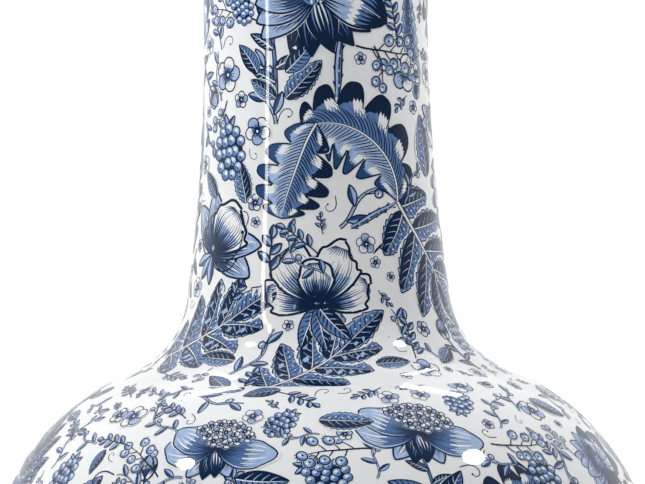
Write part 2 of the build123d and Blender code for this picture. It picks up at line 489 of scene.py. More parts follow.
def exotic_bloom(size=1.0, seed=5):
    """A big imaginary flower: streaked rays, dark drooping petals and a stippled heart."""
    rng = np.random.RandomState(seed)
    s = Sketch()
    for k, angle in enumerate((228, 150, 208, 168, 188)):
        s.add(pointed_petal((21 - 0.5 * k) * size, 9 * size, 0.3, seed + k, True), 0, angle)
    for k, angle in enumerate((124, 62, 110, 76, 94)):
        s.add(pointed_petal((22 - 0.6 * k) * size, 9 * size, 0.15, seed + k, False, 8), 0, angle)
    s.add(tipped_petal(25 * size, 14 * size, -0.35, seed), 0, -100)
    s.add(tipped_petal(27 * size, 15 * size, -0.35, seed + 1), 0, -62)
    s.add(pointed_petal(20 * size, 10 * size, 0.2, seed + 8, False, 8), 0, 34)
    s.add(tipped_petal(22 * size, 12 * size, -0.2, seed + 2), 0, -26)
    s.add(pointed_petal(19 * size, 10 * size, 0.1, seed + 9, False, 8), 0, 6)
    heart = circle(0, 4.2 * size, 16, 0.85, 0.5)
    s.fill(MID, heart)
    for _ in range(46):
        at = 4.2 * size * np.sqrt(rng.random()) * np.exp(1j * TAU * rng.random())
        s.fill(PAPER if rng.random() < 0.4 else NAVY, circle(at.real + 0.85j * at.imag, 0.42 * size, 6))
    return s


def shaded_petal(length, width, bend, seed):
    """A broad pale petal, finely streaked from its foot."""
    rng = np.random.RandomState(seed)
    s = Sketch()
    b = Blade(spine(length, bend), width, lens(0.58, 0.62))
    edge = frilled(b, 3, 0.035, rng)
    s.fill(PAPER, b.path[0] + (edge - b.path[0]) * 1.06)
    s.fill(PALE, edge)
    s.fill(MID, torn(b, 0.0, 0.62, 0.85))
    streaks(s, b, PAPER, 5, (0.50, 0.92), 0.8, 0.75, rng, 0.2)
    streaks(s, b, BLUE, 15, (0.03, 0.88), 0.46, 0.88, rng, 0.5)
    streaks(s, b, NAVY, 9, (0.02, 0.50), 0.46, 0.7, rng, 0.5)
    s.ring(NAVY, edge, 0.65)
    return s


def shaded_bloom(size=1.0, seed=7):
    """A pale open flower: broad streaked petals, dark lower ones and a beaded crown."""
    s = Sketch()
    for k, angle in enumerate((140, -142, 165, -164)):
        s.add(pointed_petal((17 - k) * size, 8 * size, 0.2 * (-1) ** k, seed + k, k > 1, 7), 0, angle)
    for k, (angle, length, bend) in enumerate(((104, 24, -0.4), (-106, 25, 0.4), (74, 22, -0.3))):
        s.add(shaded_petal(length * size, 15 * size, bend, seed + k), 0, angle)
    for row, count in ((13.5, 7), (9.0, 5), (4.8, 3)):
        for k in range(count):
            angle = 0.35 + 2.1 * (k + 0.5) / count
            s.add(blossom(2.9 * size, seed + k + count), (row * np.exp(1j * angle)) * size)
    return s


def blossom(radius=4.5, seed=1, petals=5):
    """A small open flower: round petals with short lines, and a dotted eye."""
    rng = np.random.RandomState(seed)
    s = Sketch()
    first = rng.random() * TAU
    headings = first + TAU * np.arange(petals) / petals
    for heading in headings:
        s.fill(PAPER, circle(0.6 * radius * np.exp(1j * heading), 0.58 * radius, 10))
    for k, heading in enumerate(headings):
        centre = 0.58 * radius * np.exp(1j * heading)
        s.fill(PALE if k % 2 else PAPER, circle(centre, 0.46 * radius, 12))
        s.fill(MID, crescent(centre, 0.44 * radius, 0.6, heading + np.pi))
        s.ring(NAVY, circle(centre, 0.46 * radius, 12), 0.52)
        for j in (-1, 0, 1):
            ray = np.exp(1j * (heading + 0.3 * j))
            s.line(NAVY, [0.2 * radius * ray, 0.66 * radius * ray], 0.38, 1, 0.3)
    s.fill(NAVY, circle(0, 0.26 * radius, 10))
    s.fill(PAPER, circle(0.05 * radius, 0.1 * radius, 6))
    return s


def side_flower(size=1.0, seed=2):
    """A trumpet flower from the side, with a frilled mouth and tendrils."""
    s = Sketch()
    for angle, length in ((60, 15), (-58, 15), (30, 17), (-28, 17)):
        petal = pointed_petal((length + 3) * size, 8.5 * size, 0.5 * np.sign(angle), seed, False, 7)
        s.add(petal, 0, angle)
    s.add(fan_petal(17 * size, 17 * size, 0, 4, seed, 13), 0, 0)
    for k in range(4):
        side = 1 if k % 2 else -1
        turned = np.exp(1j * np.radians(-side * (150 - 18 * k)))
        curl = spine((13 + 2 * k) * size, side * 2.6, 0, 20) * turned
        s.line(NAVY, curl, 0.6, 0.9, 0.5, 0.3)
        s.fill(NAVY, circle(curl[-1], 0.6, 7))
    for k in range(3):
        s.add(small_leaf(9 * size, 3.2 * size, PALE), 0, 180 + (k - 1) * 34)
    return s


def rosebud(size=1.0, seed=1):
    """A bud in its sepals, on a stem with leaves."""
    s = Sketch()
    stem = spine(22 * size, 0.15)
    s.line(NAVY, stem, 1.5 * size, 1, 0.8, 0.1)
    s.line(MID, stem, 0.7 * size, 1, 0.8, 0.1)
    top = stem[-1]
    for angle in (20, -22, 0):
        s.add(pointed_petal(11 * size, 6 * size, -0.5 * np.sign(angle), seed, False, 5), top, angle)
    for angle in (46, -46):
        s.add(pointed_petal(7.5 * size, 2.6 * size, -0.6 * np.sign(angle), seed, True), top, angle)
    for t, angle in ((0.2, 55), (0.4, -60), (0.65, 50)):
        at, _ = point_at(stem, t)
        s.add(dark_leaf(9 * size, 3.4 * size, 0.3 * np.sign(angle)), at, angle)
    return s


# ---- Stems ----

def notched_stem(length=30.0, bend=0.3, width=2.6, seed=1):
    """A woody stem with bark notches on both sides."""
    rng = np.random.RandomState(seed)
    s = Sketch()
    path = spine(length, bend, 0.1, 50)
    s.line(NAVY, path, width, 0.5, 0.25, 0.4)
    s.line(PALE, path, width * 0.60, 0.5, 0.2, 0.4)
    s.line(BLUE, path + width * 0.12, width * 0.26, 0.6, 0.3, 0.4)
    for i in range(int(length / 2.6)):
        t = (i + 0.6) * 2.6 / length
        at, way = point_at(path, min(t, 1))
        side = 1 if i % 2 else -1
        foot = at + 1j * way * side * width * 0.36
        tip = foot + way * 1.6 + 1j * way * side * 0.9
        s.fill(NAVY, [foot - way * 0.9, tip, foot + way * 1.3])
        s.fill(PALE, circle(at - 1j * way * side * width * 0.1, 0.42 + 0.2 * rng.random(), 6))
    return s


def vine(length=30.0, bend=0.4, sway=0.5, width=1.4, leaves=5, seed=1):
    """A winding stem with a pale core, small leaves and buds at the ends of short stalks."""
    rng = np.random.RandomState(seed)
    s = Sketch()
    path = spine(length, bend, sway, 40)
    s.line(NAVY, path, width, 1, 0.5, 0.2)
    s.line(PALE, path, width * 0.45, 1, 0.4, 0.2)
    for i in range(leaves):
        side = 1 if i % 2 else -1
        at, way = point_at(path, 0.12 + 0.85 * i / leaves)
        turn = np.degrees(np.angle(way)) - 90 + side * (38 + 20 * rng.random())
        if i % 3 == 2:
            stalk = at + spine(3.5, -0.5 * side, 0, 6) * np.exp(1j * np.radians(turn))
            s.line(NAVY, stalk, 0.5, 1, 0.8, 0.1)
            s.add(berry(1.5, i), stalk[-1], turn)
        else:
            s.add(small_leaf(6.5 + 2 * rng.random(), 2.9, PALE), at, turn)
    return s


def tendril(length=14.0, curl=4.0):
    """A fine line that curls up at its end."""
    s = Sketch()
    t = np.linspace(0, 1, 30)
    heading = 1j * np.exp(1j * curl * t ** 2.2)
    path = np.concatenate([[0], np.cumsum(heading[1:])]) * length / 29
    s.line(NAVY, path, 0.5, 0.9, 0.6, 0.2)
    s.fill(NAVY, circle(path[-1], 0.5, 7))
    return s


# ---- The vase's outside surface, read from the frame ----

SECTIONS = ("lower_body", "upper_body", "neck", "mouth_rim")
SEAM_Z = 191.0              # height of the joint between the neck's and the belly's transfer sheets
RING_STEP = 1.5             # one profile sample at most in this much height
TONGUE_DIP = 0.5            # a sample this far below its neighbours isn't on the outside


def natural_spline(x, y, at):
    """A natural cubic spline through (x, y), read at other places."""
    n = len(x)
    h = np.diff(x)
    system = np.eye(n)
    right = np.zeros(n)
    for i in range(1, n - 1):
        system[i, i - 1:i + 2] = h[i - 1], 2 * (h[i - 1] + h[i]), h[i]
        right[i] = 6 * ((y[i + 1] - y[i]) / h[i] - (y[i] - y[i - 1]) / h[i - 1])
    m = np.linalg.solve(system, right)
    i = np.clip(np.searchsorted(x, at) - 1, 0, n - 2)
    a, b = (x[i + 1] - at) / h[i], (at - x[i]) / h[i]
    return a * y[i] + b * y[i + 1] + ((a ** 3 - a) * m[i] + (b ** 3 - b) * m[i + 1]) * h[i] ** 2 / 6


def outside_samples():
    """(radius, height) of points on the outside of the CAD sections, from the foot to the lip."""
    best = {}
    for node in SECTIONS:
        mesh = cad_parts[node].data
        for face in mesh.polygons:
            outwards = Vector((face.center.x, face.center.y, 0)).normalized()
            if face.normal.dot(outwards) < 0.08:
                continue
            for i in face.vertices:
                co = mesh.vertices[i].co / MM
                ring = round(co.z / RING_STEP)
                sample = (np.hypot(co.x, co.y), co.z)
                best[ring] = max(best.get(ring, sample), sample)
    return without_tongues(np.array([best[ring] for ring in sorted(best)]))


def without_tongues(samples):
    """The samples without those on a joint's hidden tongue, which dip below their neighbours."""
    while True:
        (r0, z0), (r1, z1), (r2, z2) = samples[:-2].T, samples[1:-1].T, samples[2:].T
        dip = r0 + (r2 - r0) * (z1 - z0) / (z2 - z0) - r1
        if dip.max() < TONGUE_DIP:
            return samples
        samples = np.delete(samples, dip.argmax() + 1, axis=0)


class Outside:
    """The outside as a surface of revolution. A place on it is an angle in degrees, 0 at the
    front and growing to the right, and s, the distance along the profile above the seam."""

    def __init__(self):
        samples = outside_samples()
        along = np.concatenate([[0], np.cumsum(np.hypot(*np.diff(samples, axis=0).T))])
        fine = np.arange(0, along[-1], 0.25)
        self.r = natural_spline(along, samples[:, 0], fine)
        self.z = natural_spline(along, samples[:, 1], fine)
        steps = np.hypot(np.diff(self.r), np.diff(self.z))
        self.s = np.concatenate([[0], np.cumsum(steps)])
        self.s -= np.interp(SEAM_Z, self.z, self.s)
        slope_r, slope_z = np.gradient(self.r, self.s), np.gradient(self.z, self.s)
        self.out, self.up = slope_z, -slope_r

    def radius(self, s):
        """The vase's radius at a length along the profile."""
        return np.interp(s, self.s, self.r)

    def s_at(self, z):
        """The length along the profile at a height."""
        return float(np.interp(z, self.z, self.s))

    def points(self, angle, s, lift):
        """Places in metres, lifted off the surface, and the surface's normals there."""
        turn = np.radians(angle)
        out, up = np.interp(s, self.s, self.out), np.interp(s, self.s, self.up)
        r = self.radius(s) + lift * out
        z = np.interp(s, self.s, self.z) + lift * up
        side, front = np.sin(turn), -np.cos(turn)
        points = np.stack([r * side, r * front, z], axis=1) * MM
        return points, np.stack([out * side, out * front, up], axis=1)


# ---- Motifs: sketches cut into flat triangles ----

FINE = 0.045                # an outline may be simplified by this much
GRID = 3.0                  # flat triangles no bigger than this keep to the curve
OUTSIDE = -1                # the ink of what no outline covers


def slim(loop, tolerance):
    """A loop without the points that its neighbours can stand in for."""
    for parity in (0, 1, 0, 1, 0, 1):
        if len(loop) < 6:
            break
        before, after = np.roll(loop, 1), np.roll(loop, -1)
        chord = after - before
        off = abs(((loop - before) * chord.conj()).imag) / np.maximum(abs(chord), 1e-6)
        spare = (off < tolerance) & (abs(chord) < GRID) & (np.arange(len(loop)) % 2 == parity)
        loop = loop[~spare]
    return loop


def inside(points, loop):
    """Which points lie in a loop, by its winding number."""
    x, y = points.real[:, None], points.imag[:, None]
    ax, ay = loop.real, loop.imag
    bx, by = np.roll(ax, -1), np.roll(ay, -1)
    left = (bx - ax) * (y - ay) - (x - ax) * (by - ay)
    rising = (ay <= y) & (by > y) & (left > 0)
    falling = (ay > y) & (by <= y) & (left < 0)
    return (rising.sum(1) - falling.sum(1)) != 0


def triangles(points, edges):
    """A flat triangulation that keeps to the edges: its points and faces."""
    corners = [Vector((p.real, p.imag)) for p in points]
    flat, _, faces, *_ = delaunay_2d_cdt(corners, edges, [], 0, 1e-3, False)
    flat = np.array([complex(*p) for p in flat])
    return flat, np.array(faces)


def painted(middles, loops):
    """The ink that shows at each point, when the loops are painted in order."""
    inks = np.full(len(middles), OUTSIDE)
    order = np.argsort(middles.real)
    across = middles.real[order]
    for ink, loop in loops:
        first, last = np.searchsorted(across, (loop.real.min(), loop.real.max()))
        near = order[first:last]
        height = middles.imag[near]
        near = near[(height > loop.imag.min()) & (height < loop.imag.max())]
        inks[near[inside(middles[near], loop)]] = ink
    return inks


def cut(shapes, wanted):
    """The visible parts of shapes in the wanted inks, as flat points, faces and the faces' inks."""
    loops = [(ink if ink in wanted else OUTSIDE, slim(outline, FINE)) for ink, outline in shapes]
    if not loops:
        return np.zeros(0, complex), np.zeros((0, 3), int), np.zeros(0, int)
    points, edges = [], []
    for _, loop in loops:
        n, first = len(loop), len(points)
        edges += [(first + i, first + (i + 1) % n) for i in range(n)]
        points += list(loop)
    flat, faces = triangles(points, edges)
    inks = painted(flat[faces].mean(axis=1), loops)
    sides = {}
    for face, ink in zip(faces.tolist(), inks.tolist()):
        for a, b in zip(face, face[1:] + face[:1]):
            sides.setdefault((min(a, b), max(a, b)), []).append(ink)
    borders = [pair for pair, seen in sides.items() if len(seen) == 1 or seen[0] != seen[1]]
    used, index = np.unique(np.array(borders), return_inverse=True)
    across = np.arange(flat.real.min(), flat.real.max(), GRID)
    upwards = np.arange(flat.imag.min(), flat.imag.max(), GRID)
    grid = (across[None, :] + 1j * upwards[:, None]).ravel()
    flat, faces = triangles(list(flat[used]) + list(grid), index.reshape(-1, 2).tolist())
    inks = painted(flat[faces].mean(axis=1), loops)
    keep = inks != OUTSIDE
    return flat, faces[keep], inks[keep]


class Motif:
    """A sketch ready to lay: its washes with the paper they hide, and its lines."""

    def __init__(self, sketch):
        washes, lines = (PAPER, PALE, MID), (BLUE, NAVY)
        self.wash = cut([shape for shape in sketch.shapes if shape[0] in washes], washes)
        self.line = cut(sketch.shapes, lines)
        reach = np.concatenate([outline for _, outline in sketch.shapes])
        self.reach = np.unique(np.round(reach / CELL) * CELL)


# ---- Transfer sheets: many motifs laid on one repeat of the surface ----

LIFT_WASH, LIFT_LINE = 0.035, 0.055     # how far the two layers of print stand off the glaze
LIFT_LEVEL = 0.035                      # more for a motif laid over others
CELL = 1.5                              # of the map of taken places
MESH_LIMIT = 150000                     # triangles in one mesh of print


class Sheet:
    """One repeat of a transfer print: its width in degrees and its run along the profile."""

    def __init__(self, name, outside, repeats, low, high):
        self.name, self.outside, self.low, self.high = name, outside, low, high
        self.repeats, self.width = repeats, 360.0 / repeats
        widest = max(outside.radius(np.linspace(low, high, 50)))
        rows = int((high - low) / CELL) + 1
        columns = int(np.radians(self.width) * widest / CELL) + 1
        self.levels = np.zeros((rows, columns), int)
        self.layers = {"wash": [], "line": []}

    def lay(self, flat, angle, s):
        """Flat places as (degrees, s), kept true to length round the vase."""
        heights = s + flat.imag
        return angle + np.degrees(flat.real / self.outside.radius(heights)), heights

    def cells(self, flat, angle, s):
        """The cells of the sheet's map under flat places, and the places' heights."""
        degrees, heights = self.lay(flat, angle, s)
        rows = np.clip((heights - self.low) / CELL, 0, self.levels.shape[0] - 1).astype(int)
        share = (degrees / self.width + 0.5) % 1.0
        return rows, (share * (self.levels.shape[1] - 1)).astype(int), heights

    def put(self, motif, angle, s, turn=0.0, size=1.0, flip=False, shy=None):
        """Lays a motif on the sheet. A shy one gives up if more than that share of it is on
        places already taken, or if it would cross the sheet's ends."""
        factor = size * np.exp(1j * np.radians(turn))

        def turned(flat):
            return (-flat.conj() if flip else flat) * factor

        rows, columns, heights = self.cells(turned(motif.reach), angle, s)
        if shy is not None:
            if heights.max() > self.high - 0.5 or heights.min() < self.low + 0.5:
                return
            if (self.levels[rows, columns] > 0).mean() > shy:
                return
        level = int(self.levels[rows, columns].max())
        self.levels[rows, columns] = level + 1
        for layer, (flat, faces, inks) in (("wash", motif.wash), ("line", motif.line)):
            degrees, heights = self.lay(turned(flat), angle, s)
            inner = (heights[faces] < self.high).any(1) & (heights[faces] > self.low).any(1)
            if level == 0:
                inner &= inks != PAPER
            faces = faces[inner][:, ::-1] if flip else faces[inner]
            heights = np.clip(heights, self.low, self.high)
            lift = {"wash": LIFT_WASH, "line": LIFT_LINE}[layer] + level * LIFT_LEVEL
            self.layers[layer].append((degrees, heights, lift, faces, inks[inner]))

    def scatter(self, motifs, tries, shy, seed, sizes=(0.9, 1.1), turns=(-180, 180)):
        """Fills what is still free with motifs from a list."""
        rng = np.random.RandomState(seed)
        for _ in range(tries):
            motif = motifs[rng.randint(len(motifs))]
            angle = (rng.random() - 0.5) * self.width
            s = self.low + (self.high - self.low) * rng.random()
            turn = turns[0] + (turns[1] - turns[0]) * rng.random()
            size = sizes[0] + (sizes[1] - sizes[0]) * rng.random()
            self.put(motif, angle, s, turn, size, rng.random() < 0.5, shy)


def batches(motifs):
    """The laid motifs of one layer, in runs small enough for one mesh each."""
    runs, size = [[]], 0
    for motif in motifs:
        count = len(motif[-1])
        if size + count > MESH_LIMIT:
            runs.append([])
            size = 0
        runs[-1].append(motif)
        size += count
    return runs


def print_piece(sheet, name, motifs, repeat, materials):
    """Some motifs of one layer of one repeat, as a mesh on the vase. The materials are by ink."""
    points, normals, faces, inks = [], [], [], []
    first = 0
    for degrees, heights, lift, motif_faces, motif_inks in motifs:
        used, index = np.unique(motif_faces, return_inverse=True)
        at, facing = sheet.outside.points(degrees[used] + repeat * sheet.width, heights[used], lift)
        points.append(at)
        normals.append(facing)
        faces.append(index.reshape(-1, 3) + first)
        inks.append(motif_inks)
        first += len(used)
    inks = np.concatenate(inks)
    mesh = bpy.data.meshes.new(name)
    mesh.from_pydata(np.concatenate(points).tolist(), [], np.concatenate(faces).tolist())
    used_inks = sorted(set(inks.tolist()))
    for ink in used_inks:
        mesh.materials.append(materials[ink])
    mesh.polygons.foreach_set("material_index", np.searchsorted(used_inks, inks).astype(np.int32))
    mesh.polygons.foreach_set("use_smooth", np.ones(len(inks), bool))
    mesh.update()
    mesh.normals_split_custom_set_from_vertices(np.concatenate(normals).tolist())
    piece = bpy.data.objects.new(name, mesh)
    bpy.context.scene.collection.objects.link(piece)
    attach(piece, "root")


def print_sheet(sheet, materials):
    """Every repeat of a sheet, one layer at a time."""
    for layer, motifs in sheet.layers.items():
        for repeat in range(sheet.repeats):
            for part, batch in enumerate(batches(motifs)):
                name = f"{sheet.name}_{layer}_{repeat + 1}_{part + 1}"
                print_piece(sheet, name, batch, repeat, materials)


# ---- Materials ----

def new_material(name, colour, roughness):
    """A plain material, its node tree and its shader. What is the same all over is set here."""
    material = bpy.data.materials.new(name)
    material.use_nodes = True
    shader = material.node_tree.nodes["Principled BSDF"]
    shader.inputs["Base Color"].default_value = (*colour, 1)
    shader.inputs["Roughness"].default_value = roughness
    shader.inputs["IOR"].default_value = 1.5
    return material, material.node_tree, shader


def noise(tree, scale, detail=3.0):
    """Noise in the vase's own space: its value's socket."""
    place = tree.nodes.new("ShaderNodeTexCoord")
    node = tree.nodes.new("ShaderNodeTexNoise")
    node.inputs["Scale"].default_value = scale
    node.inputs["Detail"].default_value = detail
    tree.links.new(place.outputs["Object"], node.inputs["Vector"])
    return node.outputs["Fac"]


def ranged(tree, value, low, high, to_low, to_high):
    """A value mapped from one range to another, and held inside it."""
    node = tree.nodes.new("ShaderNodeMapRange")
    node.inputs["From Min"].default_value = low
    node.inputs["From Max"].default_value = high
    node.inputs["To Min"].default_value = to_low
    node.inputs["To Max"].default_value = to_high
    tree.links.new(value, node.inputs["Value"])
    return node.outputs[0]


def blended(tree, share, first, second):
    """A mix of two colours; each is a colour or a socket."""
    node = tree.nodes.new("ShaderNodeMix")
    node.data_type = "RGBA"
    tree.links.new(share, node.inputs["Factor"])
    for name, colour in (("A", first), ("B", second)):
        socket = [i for i in node.inputs if i.name == name and i.type == "RGBA"][0]
        if isinstance(colour, tuple):
            socket.default_value = (*colour, 1)
        else:
            tree.links.new(colour, socket)
    return [o for o in node.outputs if o.type == "RGBA"][0]


def bumped(tree, shader, height, distance, strength):
    """Gives a shader's surface a bump of some depth in metres."""
    node = tree.nodes.new("ShaderNodeBump")
    node.inputs["Distance"].default_value = distance
    node.inputs["Strength"].default_value = strength
    tree.links.new(height, node.inputs["Height"])
    tree.links.new(node.outputs["Normal"], shader.inputs["Normal"])


def scaled(colour, factor):
    """A colour made darker or lighter."""
    return tuple(min(channel * factor, 1.0) for channel in colour)


def specks(tree):
    """1 in a few pinhead iron specks, 0 elsewhere."""
    place = tree.nodes.new("ShaderNodeTexCoord")
    cells = tree.nodes.new("ShaderNodeTexVoronoi")
    cells.inputs["Scale"].default_value = 75
    tree.links.new(place.outputs["Object"], cells.inputs["Vector"])
    return ranged(tree, cells.outputs["Distance"], 0.016, 0.030, 1, 0)


def uneven_gloss(tree, shader):
    """The glaze's roughness, varying a little over a few centimetres."""
    roughness = ranged(tree, noise(tree, 40), 0.3, 0.7, 0.8 * GLOSS, 1.3 * GLOSS)
    tree.links.new(roughness, shader.inputs["Roughness"])


def glaze_material():
    """White glaze: a little warmer where it lies thin, with iron specks."""
    material, tree, shader = new_material("white_glaze", GLAZE, GLOSS)
    thickness = ranged(tree, noise(tree, 9, 2), 0.35, 0.65, 0, 1)
    tone = blended(tree, thickness, GLAZE, GLAZE_THIN)
    tree.links.new(blended(tree, specks(tree), tone, IRON), shader.inputs["Base Color"])
    uneven_gloss(tree, shader)
    bumped(tree, shader, noise(tree, 60, 1), 0.0004, 0.05)
    return material


def wash_material(name, colour):
    """A flat tone of the print under the glaze, cloudy where the colour took unevenly."""
    material, tree, shader = new_material(name, colour, GLOSS)
    cloud = ranged(tree, noise(tree, 420, 4), 0.30, 0.70, 0, 1)
    tone = blended(tree, cloud, scaled(colour, 0.86), scaled(colour, 1.13))
    tree.links.new(tone, shader.inputs["Base Color"])
    uneven_gloss(tree, shader)
    return material


def line_material(name, colour):
    """Engraved lines of the print: one crisp colour under a glaze of uneven gloss."""
    material, tree, shader = new_material(name, colour, GLOSS)
    uneven_gloss(tree, shader)
    return material


def biscuit_material():
    """The bare fired clay the vase stands on."""
    material, tree, shader = new_material("biscuit", BISCUIT, 0.85)
    grain = ranged(tree, noise(tree, 900, 6), 0.3, 0.7, 0, 1)
    tone = blended(tree, grain, scaled(BISCUIT, 0.82), scaled(BISCUIT, 1.1))
    tree.links.new(tone, shader.inputs["Base Color"])
    tree.links.new(ranged(tree, noise(tree, 500), 0.3, 0.7, 0.75, 0.95), shader.inputs["Roughness"])
    bumped(tree, shader, noise(tree, 1200, 5), 0.0003, 0.4)
    return material


GLOSS = 0.045                           # the glaze's roughness
GLAZE = (0.83, 0.86, 0.875)
GLAZE_THIN = (0.85, 0.86, 0.855)
IRON = (0.26, 0.19, 0.13)
BISCUIT = (0.66, 0.60, 0.50)
glaze, biscuit = glaze_material(), biscuit_material()
inks = {PAPER: glaze,
        PALE: wash_material("cobalt_pale", (0.36, 0.49, 0.73)),
        MID: wash_material("cobalt_mid", (0.11, 0.215, 0.45)),
        BLUE: line_material("cobalt_blue", (0.020, 0.066, 0.19)),
        NAVY: line_material("cobalt_navy", (0.002, 0.016, 0.055))}


# ---- The glazed body ----

def glaze_nodes():
    """Glaze on every CAD solid, and bare clay on the face the foot ring stands on."""
    for node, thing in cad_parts.items():
        thing.data.materials.clear()
        thing.data.materials.append(glaze)
        if node == "foot_ring":
            thing.data.materials.append(biscuit)
            for face in thing.data.polygons:
                face.material_index = int(face.center.z < BARE_HEIGHT * MM)


def joint_band(outside, node):
    """The glaze that runs on across a joint's slip, in place of the slip's own face."""
    low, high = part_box(node)
    rows = np.linspace(outside.s_at(low.z / MM - BAND_LAP), outside.s_at(high.z / MM + BAND_LAP), 4)
    angles = np.linspace(0, 360, BAND_STEPS, endpoint=False)
    degrees, heights = np.meshgrid(angles, rows)
    at, facing = outside.points(degrees.ravel(), heights.ravel(), BAND_LIFT)
    faces = []
    for row in range(3):
        for i in range(BAND_STEPS):
            a, b = row * BAND_STEPS + i, row * BAND_STEPS + (i + 1) % BAND_STEPS
            faces.append((a, b, b + BAND_STEPS, a + BAND_STEPS))
    mesh = bpy.data.meshes.new(node + "_glazed")
    mesh.from_pydata(at.tolist(), [], faces)
    mesh.materials.append(glaze)
    mesh.polygons.foreach_set("use_smooth", np.ones(len(faces), bool))
    mesh.update()
    mesh.normals_split_custom_set_from_vertices(facing.tolist())
    band = bpy.data.objects.new(node + "_glazed", mesh)
    bpy.context.scene.collection.objects.link(band)
    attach(band, "root")
    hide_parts(node)


BARE_HEIGHT = 0.6                       # how far up the foot the glaze is wiped off
BAND_LAP, BAND_LIFT, BAND_STEPS = 0.4, 0.015, 360


# ---- The two sheets' designs ----

def stock(seed):
    """One set of motifs, each drawn once."""
    sketches = {
        "oak": oak_leaf(46, 35, 0.5, 5, seed),
        "long_oak": oak_leaf(66, 42, 2.2, 6, seed + 1, -1),
        "compound": compound_leaf(1.2, seed),
        "feather": feather_leaf(44, 12, 0.3, seed),
        "serrated": serrated_leaf(22, 11, 0.2, seed),
        "dark": dark_leaf(18, 8, 0.3),
        "sprig": sprig(18, 7, 0.4, 6, seed),
        "sprig_small": sprig(11, 5, -0.3, 5, seed + 1),
        "berries": berry_spray(22, 7, 0.5, 2.2, seed),
        "berries_few": berry_spray(14, 4, -0.5, 2.1, seed + 1),
        "bramble": berry_cluster(15, seed),
        "beads": bead_arc(28, 5.5, 0.9, seed),
        "peony": peony(1.0, seed + 2),
        "exotic": exotic_bloom(1.0, seed + 3),
        "shaded": shaded_bloom(1.0, seed + 4),
        "blossom": blossom(5.6, seed),
        "blossom_small": blossom(3.6, seed + 1),
        "trumpet": side_flower(1.0, seed),
        "rosebud": rosebud(1.1, seed),
        "notched": notched_stem(26, 0.2, 3.0, seed),
        "twig": vine(26, 0.3, 0.5, 1.5, 4, seed),
        "vine": vine(40, 0.7, 0.8, 1.3, 7, seed + 1),
        "tendril": tendril(15, 4.5),
    }
    return {name: Motif(sketch) for name, sketch in sketches.items()}


COLUMN, ROW = 10.0, 10.0    # one step of the print's plan: degrees round, and millimetres up

# The print's plan, painted from its lowest row up, so that a later motif lies over an earlier
# one. A row is its height and its motifs: name, column from the front, turn and size.

NECK_PLAN = (
    (19, (("compound", -1.5, -50, 1.0), ("dark", -2.5, 40, 0.9), ("sprig_small", -2, 10, 1.2))),
    (20, (("compound", -7, -65, 1.0), ("sprig", 3.5, -20, 1.0), ("bramble", 7, 0, 0.9),
          ("serrated", -3, 80, 0.8), ("vine", 4.5, 10, 0.7))),
    (21, (("sprig_small", 6.5, 20, 1.2), ("sprig_small", 8.5, 0, 1.0))),
    (22, (("peony", 0, 0, 1.1), ("sprig_small", -4, -20, 1.1))),
    (23, (("sprig_small", -2, 10, 1.5), ("vine", 0.5, 20, 0.8))),
    (24, (("sprig", 0, 40, 0.9), ("sprig_small", 2.5, -50, 1.4), ("trumpet", -5.5, -40, 1.3))),
    (25, (("twig", 1, -60, 1.2), ("tendril", -3.5, -30, 0.8), ("notched", 1.5, -70, 0.9))),
    (26, (("compound", 4, -150, 1.1), ("long_oak", 4, -10, 0.85), ("serrated", -3.5, 10, 0.8),
          ("blossom_small", -3, 0, 0.9), ("twig", 4.5, -50, 0.8))),
    (27, (("bramble", -4.5, 10, 1.1), ("serrated", 6.5, 0, 1.1), ("feather", -8, 0, 0.9))),
    (29, (("oak", 0, 145, 0.85), ("twig", -2, 0, 1.2))),
    (30, (("notched", 1, -10, 1.1), ("rosebud", -2, 0, 1.2), ("serrated", -1.5, -50, 0.9),
          ("serrated", -2, 50, 0.6), ("feather", 6, 0, 1.0), ("blossom_small", -4, 0, 0.9),
          ("berries_few", -5, 160, 0.8), ("twig", -5.5, 0, 0.8))),
    (31, (("blossom", -5, 0, 1.2), ("blossom", 5, 0, 1.3), ("dark", -1.5, -50, 0.9),
          ("dark", -3, 30, 0.8), ("blossom_small", 6, 0, 1.1))),
    (32, (("berries", 2, -110, 1.1), ("berries_few", 3, -150, 1.0), ("sprig", -5.5, 10, 1.0),
          ("sprig", 4.5, 0, 1.0))),
    (33, (("berries", -3, 60, 1.0), ("bramble", -3.5, 30, 0.7), ("sprig", 3, 50, 0.9))),
    (34, (("exotic", 0, 0, 1.25), ("sprig_small", -3, 40, 1.1), ("vine", 5, 20, 0.8))),
)
